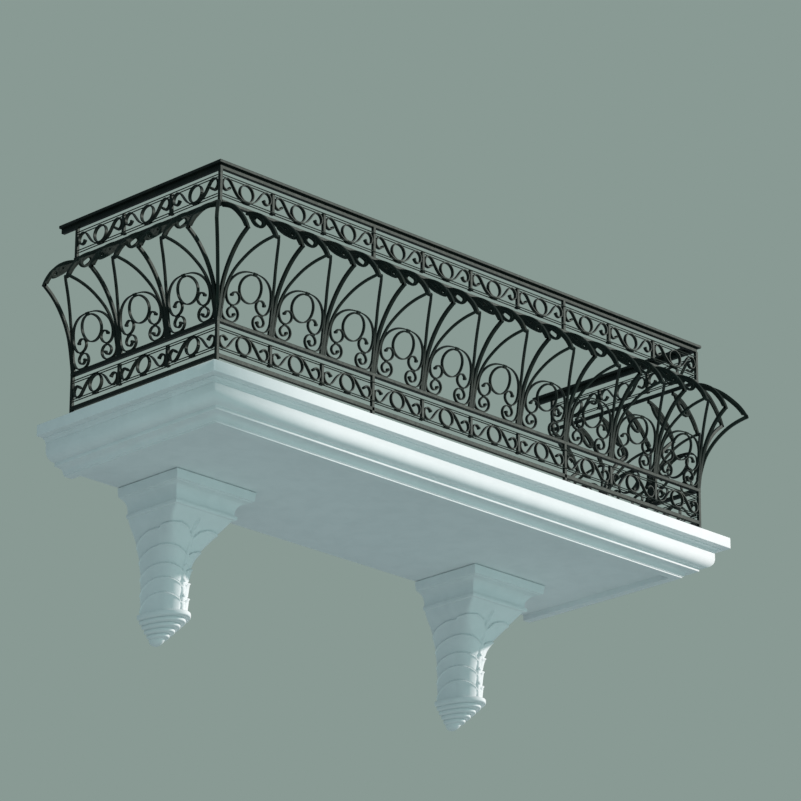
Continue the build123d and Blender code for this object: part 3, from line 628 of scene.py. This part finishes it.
def corbel(side, cx):
    k = side
    cap = Piece("v_corbel_cap_" + k, ["corbel_cap_" + k], STONE, "corbel_stone", 26)
    prof = [(9, 178.0), (9, 181.4), (1.0, 181.6), (0, 182.6), (5.6, 222.5), (6.4, 224), (13, 225), (14, 226.2)]
    prof += arcs((15, 228), (61, 276), (57, 234), 14)
    prof += [(61.4, 278), (61.4, 291), (60.6, 292.4), (57, 293)]
    prof += arcs((56, 294), (56, 313), (50.5, 303.5), 9)
    prof += [(58, 314.2), (64, 315)]
    v, f = [], []
    for i, z in prof:
        hx, dy = 244 - i * 1.05, 409 - i * 1.24
        v += [(cx - hx, 0, TOP - z), (cx - hx, -dy, TOP - z), (cx + hx, -dy, TOP - z), (cx + hx, 0, TOP - z)]
    n = len(prof)
    for j in range(n - 1):
        for a in range(4):
            b = (a + 1) % 4
            f.append((4 * j + a, 4 * j + b, 4 * j + 4 + b, 4 * j + 4 + a))
    f.append((3, 2, 1, 0))
    f.append((4 * n - 4, 4 * n - 3, 4 * n - 2, 4 * n - 1))
    cap.add((np.array(v), f))
    cap.make()

    body = Piece("v_corbel_body_" + k, ["corbel_body_" + k], STONE, "corbel_stone", 60)
    deps = np.concatenate([np.arange(314, 757, 2.0), [757.0]])
    cols = smooth_cols(BODY, deps)
    count = 221
    v = []
    for dep, (w, dd, n_) in zip(deps, cols):
        at, nrm, q = d_curve(w, dd, max(n_, 2.0), count)
        h = carving(q, np.full(count, dep), at[:, 0], w)
        pt = at + nrm * h[:, None]
        pt[:, 1] = np.minimum(pt[:, 1], 0)
        pt[0, 1] = pt[-1, 1] = 0
        v.append(np.stack([cx + pt[:, 0], pt[:, 1], np.full(count, TOP - dep)], 1))
    rows = len(deps)
    f = []
    for j in range(rows - 1):
        for a in range(count - 1):
            f.append((j * count + a, j * count + a + 1, (j + 1) * count + a + 1, (j + 1) * count + a))
        f.append((j * count + count - 1, j * count, (j + 1) * count, (j + 1) * count + count - 1))
    f.append(tuple(range(count)))
    f.append(tuple((rows - 1) * count + a for a in reversed(range(count))))
    body.add((np.vstack(v), f))
    # beads on the spine where the leaf tiers meet
    for dep in (542.0, 612.0, 684.0):
        w, dd, n_ = smooth_cols(BODY, dep)[0]
        c = np.array([cx, -dd - 8.5, TOP - dep])
        sv, sf = [], []
        for i in range(9):
            th = math.pi * i / 8
            for j in range(16):
                ph = 2 * math.pi * j / 16
                sv.append(c + 8.6 * np.array([math.sin(th) * math.cos(ph) * 1.05, math.cos(th) * 0.85, math.sin(th) * math.sin(ph)]))
        for i in range(8):
            for j in range(16):
                j2 = (j + 1) % 16
                sf.append((i * 16 + j, i * 16 + j2, (i + 1) * 16 + j2, (i + 1) * 16 + j))
        body.add((np.array(sv), sf))
    body.make()

    fin = Piece("v_corbel_finial_" + k, ["corbel_finial_" + k], STONE, "corbel_stone", 40)
    rows = [(98, 206, 757.0), (103, 214, 757.6)]
    rolls = [(107, 220, 758, 781), (92, 190, 782.5, 800.5), (77, 158, 802, 819.5), (61, 127, 821, 838.5), (45, 95, 840, 857.5)]
    for w, dd, z0, z1 in rolls:
        mid, half = (z0 + z1) / 2, (z1 - z0) / 2
        for t in np.linspace(-78, 78, 9):
            s = math.sin(math.radians(t))
            c_ = math.cos(math.radians(t))
            sh = 5.5 * (1 - c_) ** 1.4
            rows.append((w - sh, dd - sh * 1.3, mid + half * s))
        rows.append((w - 8.0, dd - 12, z1 + 0.8))
    for t in np.linspace(0, 1, 9)[:-1]:
        s = math.sqrt(1 - t * t)
        rows.append((7 + 24 * s, 8 + 58 * s, 860 + 24.5 * t))
    rows.append((8, 12, 883.6))
    count = 97
    v = []
    for w, dd, z in rows:
        at, nrm, q = d_curve(w, dd, 2.0, count)
        v.append(np.stack([cx + at[:, 0], at[:, 1], np.full(count, TOP - z)], 1))
    f = []
    n = len(rows)
    for j in range(n - 1):
        for a in range(count - 1):
            f.append((j * count + a, j * count + a + 1, (j + 1) * count + a + 1, (j + 1) * count + a))
        f.append((j * count + count - 1, j * count, (j + 1) * count, (j + 1) * count + count - 1))
    f.append(tuple(range(count)))
    f.append(tuple((n - 1) * count + a for a in reversed(range(count))))
    fin.add((np.vstack(v), f))
    fin.make()


# ------------------------------------------------------------------ railing: places and shared shapes
def on_front(a):
    return np.stack([FX0 + a[:, 0], -RAIL_D - a[:, 1], TOP + a[:, 2]], 1)


def on_left(a):
    return np.stack([-RAIL_HALF - a[:, 1], SY0 + a[:, 0], TOP + a[:, 2]], 1)


def on_right(a):
    return np.stack([RAIL_HALF + a[:, 1], SY0 + a[:, 0], TOP + a[:, 2]], 1)


OUT = (0.0, 1.0, 0.0)


def straight(s0, s1, z, w, d_, c=1.0, out=0.0):
    """Level bar along the panel: w high, d_ deep."""
    return sweep([(s0, 0, z), ((s0 + s1) / 2, 0, z), (s1, 0, z)], OUT, rect(w, d_, c, out))


def upright(s, z0, z1, w=POST, d_=POST, c=1.3, out=0.0):
    return sweep([(s, 0, z0), (s, 0, (z0 + z1) / 2), (s, 0, z1)], OUT, rect(w, d_, c, out))


ARM = [(158.75, 845), (140, 847.5), (118, 856), (98, 872), (82, 892), (68, 911), (56, 923), (42, 928), (27, 923.5),
       (15.5, 908), (14, 892), (21, 877), (35, 871.5), (47, 875), (54, 884)]


def frieze_bay(p, place, s0, pitch, upper):
    k = pitch / PITCH
    if upper:
        def zz(z):
            return z
        cz = 888.5
    else:
        def zz(z):
            return W_LT + 1.0 - (z - 842.5) * (W_LT - W_LB) / (W_UT - W_UB)
        cz = zz(888.5)
    wb = W_UB if upper else W_LB
    arm = spline([(x, zz(z)) for x, z in ARM], 6.5)
    for m in (1, -1):
        s = s0 + pitch / 2 + m * (arm[:, 0] - 158.75) * k
        path = np.stack([s, np.zeros(len(s)), arm[:, 1]], 1)
        n = len(path)
        sc = np.interp(np.arange(n), [0, n - 7, n - 1], [1, 1, 1.25])
        p.add(sweep(path, OUT, rect(5.4, BAR + 1.5, 0.7), scale=sc), place)
        p.add(boss((path[-1][0], 0.4, path[-1][2]), OUT, 6.2, BAR + 0.8, 14), place, 1)
    a = np.linspace(0, 2 * math.pi, 49)[:-1]
    ring = np.stack([s0 + pitch / 2 + 40.5 * np.cos(a), np.zeros(48), cz + 40.5 * np.sin(a)], 1)
    p.add(sweep(ring, OUT, rect(5.4, BAR + 1.5, 0.7), closed=True), place)
    # clip binding the ring to the two lower rods
    p.add(sweep([(s0 + pitch / 2 - 14, 0, wb - 1), (s0 + pitch / 2, 0, wb - 1), (s0 + pitch / 2 + 14, 0, wb - 1)], OUT,
                rect(7.5, BAR + 5.0, 1.6, 2.5)), place, 1)


def frieze(p, place, s_first, pitch, lines, upper, mains, ends=(0, 0)):
    wt, wb = (W_UT, W_UB) if upper else (W_LT, W_LB)
    a, b = s_first + pitch * lines[0], s_first + pitch * lines[-1]
    half = POST / 2
    lo_, hi_ = (a - half, b + half) if mains else (a + half, b - half)
    for z in (wt, wb):
        p.add(straight(lo_ - ends[0], hi_ + ends[1], z, 5.0, 3.4, 0.9, 3.3), place, 1)
        p.add(straight(lo_ - ends[0], hi_ + ends[1], z, 5.0, 3.4, 0.9, -BAR + 0.2), place, 1)
    for i in lines:
        s = s_first + pitch * i
        if i in (lines[0], lines[-1]):
            if mains:
                if upper:
                    p.add(upright(s, CREST_T - 0.5, Z_HBAR + 0.5), place)
                else:
                    p.add(upright(s, 0.0, MID_B + 0.5), place)
        else:
            p.add(upright(s, wb - 3.2, wt + 3.2, 15.0, BAR, 1.2), place)
            p.add(upright(s, wb - 6.5, wb + 1.5, 20.0, BAR + 7.0, 1.6, 3.5), place, 1)
    for i in lines[:-1]:
        frieze_bay(p, place, s_first + pitch * i, pitch, upper)
    if not upper:
        p.add(straight(a + (-half if mains else half), b + (half if mains else -half),
                       (BASE_T + BASE_B) / 2, BASE_T - BASE_B, 16, 1.5), place)


LEAN_P = np.array([(250, 0), (290, .033), (330, .068), (370, .108), (410, .160), (450, .240), (490, .345),
                   (530, .480), (565, .628), (595, .797), (622, 1.0)], float)
CREST_P = [(1.0, 622), (.945, 648), (.855, 680), (.755, 706), (.65, 729), (.545, 749), (.43, 766), (.30, 780),
           (.19, 789), (.08, 796), (-.01, 799)]


class Lean:
    """Side view of the belly: distance outwards and height, by length up the leaning face."""
    def __init__(self, flare):
        z = np.linspace(250, 622, 240)
        f = smooth_cols(LEAN_P, z)[:, 0]
        f = np.convolve(np.pad(f, 10, mode="edge"), np.ones(21) / 21, "same")[10:-10] * 0.5 + f * 0.5
        f[0], f[-1] = 0, 1
        self.o, self.z = f * flare, z
        self.t = np.concatenate([[0], np.cumsum(np.hypot(np.diff(self.o), np.diff(self.z)))])
        self.total = self.t[-1]
        self.flare = flare
        self.do, self.dz = np.gradient(self.o, self.t), np.gradient(self.z, self.t)

    def at(self, st):
        """Points (s, t on the drawing, 0..442) on the leaning face, with the outward directions."""
        st = np.asarray(st, float)
        t = np.clip(st[:, 1] * self.total / 442.0, 0, self.total)
        pts = np.stack([st[:, 0], np.interp(t, self.t, self.o), np.interp(t, self.t, self.z)], 1)
        up = np.stack([np.zeros(len(t)), np.interp(t, self.t, self.dz), -np.interp(t, self.t, self.do)], 1)
        return pts, unit(up)


ARC = [(12, 0), (13, 50), (15, 90), (17, 120), (20.5, 150), (25.5, 180), (32.5, 210), (42, 240), (54, 270),
       (67, 300), (82, 332), (98, 362), (118, 396), (137, 424), (149.5, 441)]
ARCH = [(158.75, 243), (128, 241), (100, 235), (72, 221), (52, 203), (36.5, 179), (28.5, 151), (27.5, 125), (34, 102),
        (48, 84), (68, 77), (89, 83), (104.5, 98), (108.5, 117), (100, 133), (83, 139), (69, 133), (62, 122)]
FOOT = [(10.5, 92), (11.5, 62), (16, 36), (27, 15), (44, 4.5), (62, 1.5), (81, 1.5), (97, 8), (110, 23), (113.5, 42),
        (106, 59), (91, 69.5), (73, 70), (57, 59), (50, 42), (58.5, 27), (72, 22), (84, 28), (89, 38)]


def belly_bay(p, place, lean, s0, pitch):
    k = pitch / PITCH
    mid = s0 + pitch / 2

    def bar(pts, w, dep, blob=None, step=6.0, flip=1, end=1.0):
        c = spline(pts, step)
        s = mid + flip * (c[:, 0] - 158.75) * k
        path, up = lean.at(np.stack([s, c[:, 1]], 1))
        n = len(path)
        sc = np.interp(np.arange(n), [0, max(n - 7, 1), n - 1], [1, 1, end])
        p.add(sweep(path, up, rect(w, dep, 0.8, 0.5), scale=sc), place)
        if blob:
            p.add(boss(path[-1] + up[-1] * 1.0, up[-1], blob, dep + 1.0, 14), place, 1)

    for m in (1, -1):
        bar(ARC, 10.0, 12.0, flip=m, step=9.0)
        bar(ARCH, 5.4, 15.5, blob=6.8, flip=m, end=1.4)
        bar(FOOT, 5.4, 15.5, blob=6.8, flip=m, step=5.0, end=1.4)
        # clip where the two scrolls touch
        cp, cu = lean.at([(mid - m * (158.75 - 71) * k, 74)])
        t_ = np.array([1.0, 0, 0])
        p.add(sweep([cp[0] - t_ * 7, cp[0], cp[0] + t_ * 7], np.repeat(cu, 3, 0), rect(10.0, 13, 1.4, 1.5)), place, 1)
    a = np.linspace(0, 2 * math.pi, 61)[:-1]
    path, up = lean.at(np.stack([mid + 63 * k * np.cos(a), 171.5 + 63 * np.sin(a)], 1))
    p.add(sweep(path, up, rect(5.6, 15.5, 0.7, 0.5), closed=True), place)
    # collar joining the ring and the arch
    pts, up = lean.at([(mid, 229), (mid, 238), (mid, 247)])
    p.add(sweep(pts, up, rect(20, 12, 1.6, 2.0)), place, 1)


def crest_path(flare, extra=0.0):
    return spline([(f * flare + extra, z) for f, z in CREST_P], 7.0)


def crest(p, place, s, flare, kind):
    """Bracket from the nose back under the crest rail, in the radial plane at s."""
    c = crest_path(flare)
    path = np.stack([np.full(len(c), s), c[:, 0], c[:, 1]], 1)
    t = unit(np.gradient(c, axis=0))
    up = np.stack([np.zeros(len(c)), t[:, 1], -t[:, 0]], 1)
    p.add(sweep(path, up, rect(16, 15, 1.5)), place, 1)
    n0 = len(c)
    web = slice(int(n0 * 0.1), int(n0 * 0.93))
    p.add(sweep(path[web], up[web], rect(11, 10, 3.0, -13.5)), place, 1)
    g = flare / 196.0

    def radial(pts, w, dep, closed=False, off=0.0, step=4.0, sec=None):
        c2 = spline([(o * g, z) for o, z in pts], step, closed)
        pth = np.stack([np.full(len(c2), s + off), c2[:, 0], c2[:, 1]], 1)
        tt = np.gradient(c2, axis=0)
        tt = unit(tt)
        up2 = np.stack([np.zeros(len(c2)), tt[:, 1], -tt[:, 0]], 1)
        return sweep(pth, up2, rect(w, dep, 1.2) if sec is None else sec, closed)

    # raised veins on the crest plates take material index 2, the lighter vein iron: a painted highlight where the veins
    # catch the light
    def relief(pts, s_mid, r_=1.0):
        c3 = spline([(o * g, z) for o, z in pts], 4.0)
        n3 = len(c3)
        sc = np.interp(np.arange(n3), [0, n3 * .3, n3 - 1], [0.45, 1, 0.6]) * r_
        sec = np.array([(-3.2, 0.8), (-2.2, 2.6), (0, 3.4), (2.2, 2.6), (3.2, 0.8), (3.2, -3), (-3.2, -3)])
        for m in (1, -1):
            pth = np.stack([np.full(n3, s + m * s_mid), c3[:, 0], c3[:, 1]], 1)
            p.add(sweep(pth, (m, 0.0, 0.0), sec, scale=sc), place, 2)

    if kind == "loop":
        out = spline([(12, 786), (17, 764), (31, 742), (46, 722), (65, 706), (84, 696), (101, 694), (117, 702),
                      (123, 718), (116, 738), (98, 755), (72, 770), (42, 782)], 5.0, True)
        h1 = spline([(49, 746), (57, 732), (76, 714), (91, 706), (96, 714), (84, 730), (64, 747), (53, 751)], 3.0, True)
        v, f = plate([[(o * g, z) for o, z in q] for q in (out, h1[::-1])], 13.0, 2.6)
        p.add((np.stack([s + v[:, 2], v[:, 0], v[:, 1]], 1), f), place, 1)
        relief([(24, 760), (38, 737), (56, 717), (78, 702), (98, 699), (112, 707), (113, 721), (104, 731), (97, 725)], 5.4, 1.35)
        relief([(36, 770), (60, 760), (84, 745), (100, 728)], 5.4, 1.0)
    elif kind == "leaf":
        out = spline([(22, 786), (22, 768), (33, 748), (50, 732), (70, 714), (94, 696), (116, 681), (136, 673),
                      (152, 677), (160, 690), (151, 705), (128, 729), (100, 748), (70, 765), (42, 779)], 5.0, True)
        a = np.linspace(0, 2 * math.pi, 17)[:-1]
        h1 = np.stack([127 + 13.0 * np.cos(a), 701 + 8.5 * np.sin(a) - 3.0 * np.cos(a)], 1)
        h2 = np.stack([80 + 5 * np.cos(a), 739 + 5 * np.sin(a)], 1)
        v, f = plate([[(o * g, z) for o, z in q] for q in (out, h1[::-1], h2[::-1])], 13.0, 2.6)
        v = np.stack([s + v[:, 2], v[:, 0], v[:, 1]], 1)
        p.add((v, f), place, 1)
        relief([(30, 766), (42, 744), (66, 722), (92, 702), (116, 687), (136, 680), (150, 688), (149, 702),
                (138, 711), (124, 713), (113, 706), (114, 695)], 5.4, 1.25)
        relief([(46, 766), (62, 750), (80, 728), (98, 712)], 5.4, 0.9)
        relief([(74, 756), (92, 741), (106, 722)], 5.4, 0.9)
        relief([(104, 738), (118, 727), (130, 718)], 5.4, 0.8)


def rib(p, place, lean, s, w=16.0, dep=16.0):
    path, up = lean.at([(s, t) for t in np.linspace(0, 442, 52)])
    p.add(sweep(path, up, rect(w, dep, 1.6)), place)


def belly(p, place, s_first, pitch, lines, ribs, flare, last_leaf="leaf"):
    lean = Lean(flare)
    a = s_first + pitch * lines[0]
    b = s_first + pitch * lines[-1]
    h = POST / 2
    lo_ = a - h if lines[0] in ribs else a + h
    hi_ = b + h if lines[-1] in ribs else b - h
    p.add(straight(lo_, hi_, (CREST_T + CREST_B) / 2, CREST_T - CREST_B, 18, 1.2, 3.0), place)
    for i in ribs:
        s = s_first + pitch * i
        rib(p, place, lean, s)
        crest(p, place, s, flare, "leaf")
    for i in lines[:-1]:
        s0 = s_first + pitch * i
        belly_bay(p, place, lean, s0, pitch)
        crest(p, place, s0 + pitch / 2, flare, "loop")
        # bracket where the two arcs meet
        path, up = lean.at([(s0 + pitch / 2, t) for t in (428, 435, 442)])
        p.add(sweep(path, up, rect(17, 14, 1.6, 1.2)), place)


def corner(p, sgn):
    place = {"f": on_front, "s": on_left}

    def flip(fn):
        def g(a):
            q = fn(a)
            q[:, 0] *= -sgn
            return q
        return g

    fr, sd = flip(on_front), flip(on_left)
    lf, ls = Lean(188.0), Lean(186.0)
    rib(p, fr, lf, 0.0)
    crest(p, fr, 0.0, 188.0, "plain")
    rib(p, sd, ls, 0.0)
    crest(p, sd, 0.0, 186.0, "plain")
    ld = Lean(FLARE_C * math.sqrt(2))
    k = math.sqrt(0.5)

    def diag(a):
        q = np.stack([FX0 - (a[:, 1] + 4) * k + a[:, 0] * k, SY0 - (a[:, 1] + 4) * k - a[:, 0] * k, TOP + a[:, 2]], 1)
        q[:, 0] *= -sgn
        return q

    rib(p, diag, ld, 0.0)
    crest(p, diag, 0.0, FLARE_C * math.sqrt(2), "plain")
    # block under the upper corner post, where the three brackets meet
    def plain(a):
        q = np.stack([FX0 + a[:, 0], SY0 + a[:, 1], TOP + a[:, 2]], 1)
        q[:, 0] *= -sgn
        return q
    p.add(sweep([(0, 0, 786), (0, 0, 800), (0, 0, CREST_T)], (0, -1, 0), rect(18, 18, 1.5, 9)), plain)
    p.add(sweep([(0, 0, MID_T - 1), (0, 0, MID_T + 30), (0, 0, MID_T + 60)], (0, -1, 0), rect(17, 17, 1.5, 8.5)), plain)


def railing():
    hand = round_poly([(-CAP_LIP, Z_HAND - CAP_T), (-CAP_LIP, Z_HAND), (40, Z_HAND), (40, Z_HAND - CAP_T), (22.5, Z_HAND - CAP_T),
                       (22.5, Z_HBAR), (3.3, Z_HBAR), (3.3, Z_HAND - CAP_T)], [2, 2.4, 2.4, 2, 0, 1.2, 1.2, 0], 3)
    mid = round_poly([(0, MID_B), (0, MID_T), (22, MID_T), (22, MID_B)], 1.5, 3)
    for side in ("front", "left", "right"):
        p = Piece("v_handrail_" + side, ["handrail_" + side], IRON, "iron")
        p.add(run([tuple(q) for q in hand], side, RAIL_HALF, RAIL_D))
        p.make()
        p = Piece("v_mid_rail_" + side, ["mid_rail_" + side], IRON, "iron")
        p.add(run([tuple(q) for q in mid], side, RAIL_HALF, RAIL_D, -102.0))
        p.make()
    for side, sg in (("left", 1), ("right", -1)):
        def plain(a, sg=sg):
            q = np.array(a)
            q[:, 0] *= sg
            q[:, 2] += TOP
            return q
        for name, z0, z1 in (("lower", 0.0, MID_B + 0.5), ("upper", CREST_T - 0.5, Z_HBAR + 0.5)):
            for where, y in (("corner", SY0), ("end", -110.0)):
                nm = name + "_post_" + where + "_" + side
                p = Piece("v_" + nm, [nm], IRON, "iron")
                p.add(sweep([(FX0, y, z0), (FX0, y, (z0 + z1) / 2), (FX0, y, z1)], (0, -1, 0), rect(POST, POST, 1.3, POST / 2)), plain)
                p.make()
    for tag, lines, mains in (("a", [0, 1, 2, 3], False), ("b", [3, 4, 5, 6, 7], True), ("c", [7, 8, 9, 10], False)):
        for level, upper in (("upper", True), ("lower", False)):
            nm = level + "_frieze_front_" + tag
            p = Piece("v_" + nm, [nm], IRON, "iron")
            frieze(p, on_front, 0.0, PITCH, lines, upper, mains)
            p.make()
        nm = "belly_front_" + tag
        p = Piece("v_" + nm, [nm], IRON, "iron")
        ribs = {"a": [1, 2], "b": [3, 4, 5, 6, 7], "c": [8, 9]}[tag]
        belly(p, on_front, 0.0, PITCH, lines, ribs, FLARE_F)
        p.make()
    for side, place in (("left", on_left), ("right", on_right)):
        for level, upper in (("upper", True), ("lower", False)):
            nm = level + "_frieze_" + side
            p = Piece("v_" + nm, [nm], IRON, "iron")
            frieze(p, place, 0.0, SPITCH, [0, 1, 2, 3], upper, False)
            p.make()
        nm = "belly_" + side
        p = Piece("v_" + nm, [nm], IRON, "iron")
        belly(p, place, 0.0, SPITCH, [0, 1, 2, 3], [1, 2, 3], FLARE_S)
        p.make()
        nm = "corner_ribs_" + side
        p = Piece("v_" + nm, [nm], IRON, "iron")
        corner(p, -1 if side == "left" else 1)
        p.make()


slab_pieces()
corbel("left", -COR_X)
corbel("right", COR_X)
railing()


# ------------------------------------------------------------------ floor
def floor():
    m, nt, bs, co = nodes_of("floor")
    n = noise(nt, co, 0.6, 4.0)
    nt.links.new(ramp(nt, n, [(0.3, (0.50, 0.53, 0.52)), (0.7, (0.56, 0.59, 0.58))]), bs.inputs["Base Color"])
    bs.inputs["Roughness"].default_value = 0.9
    me = bpy.data.meshes.new("floor")
    bm = bmesh.new()
    bmesh.ops.create_circle(bm, cap_ends=True, segments=96, radius=7.0)
    bm.to_mesh(me)
    bm.free()
    me.materials.append(m)
    ob = bpy.data.objects.new("floor", me)
    ob.location = (0, -0.6, -13.0)
    scene.collection.objects.link(ob)


floor()
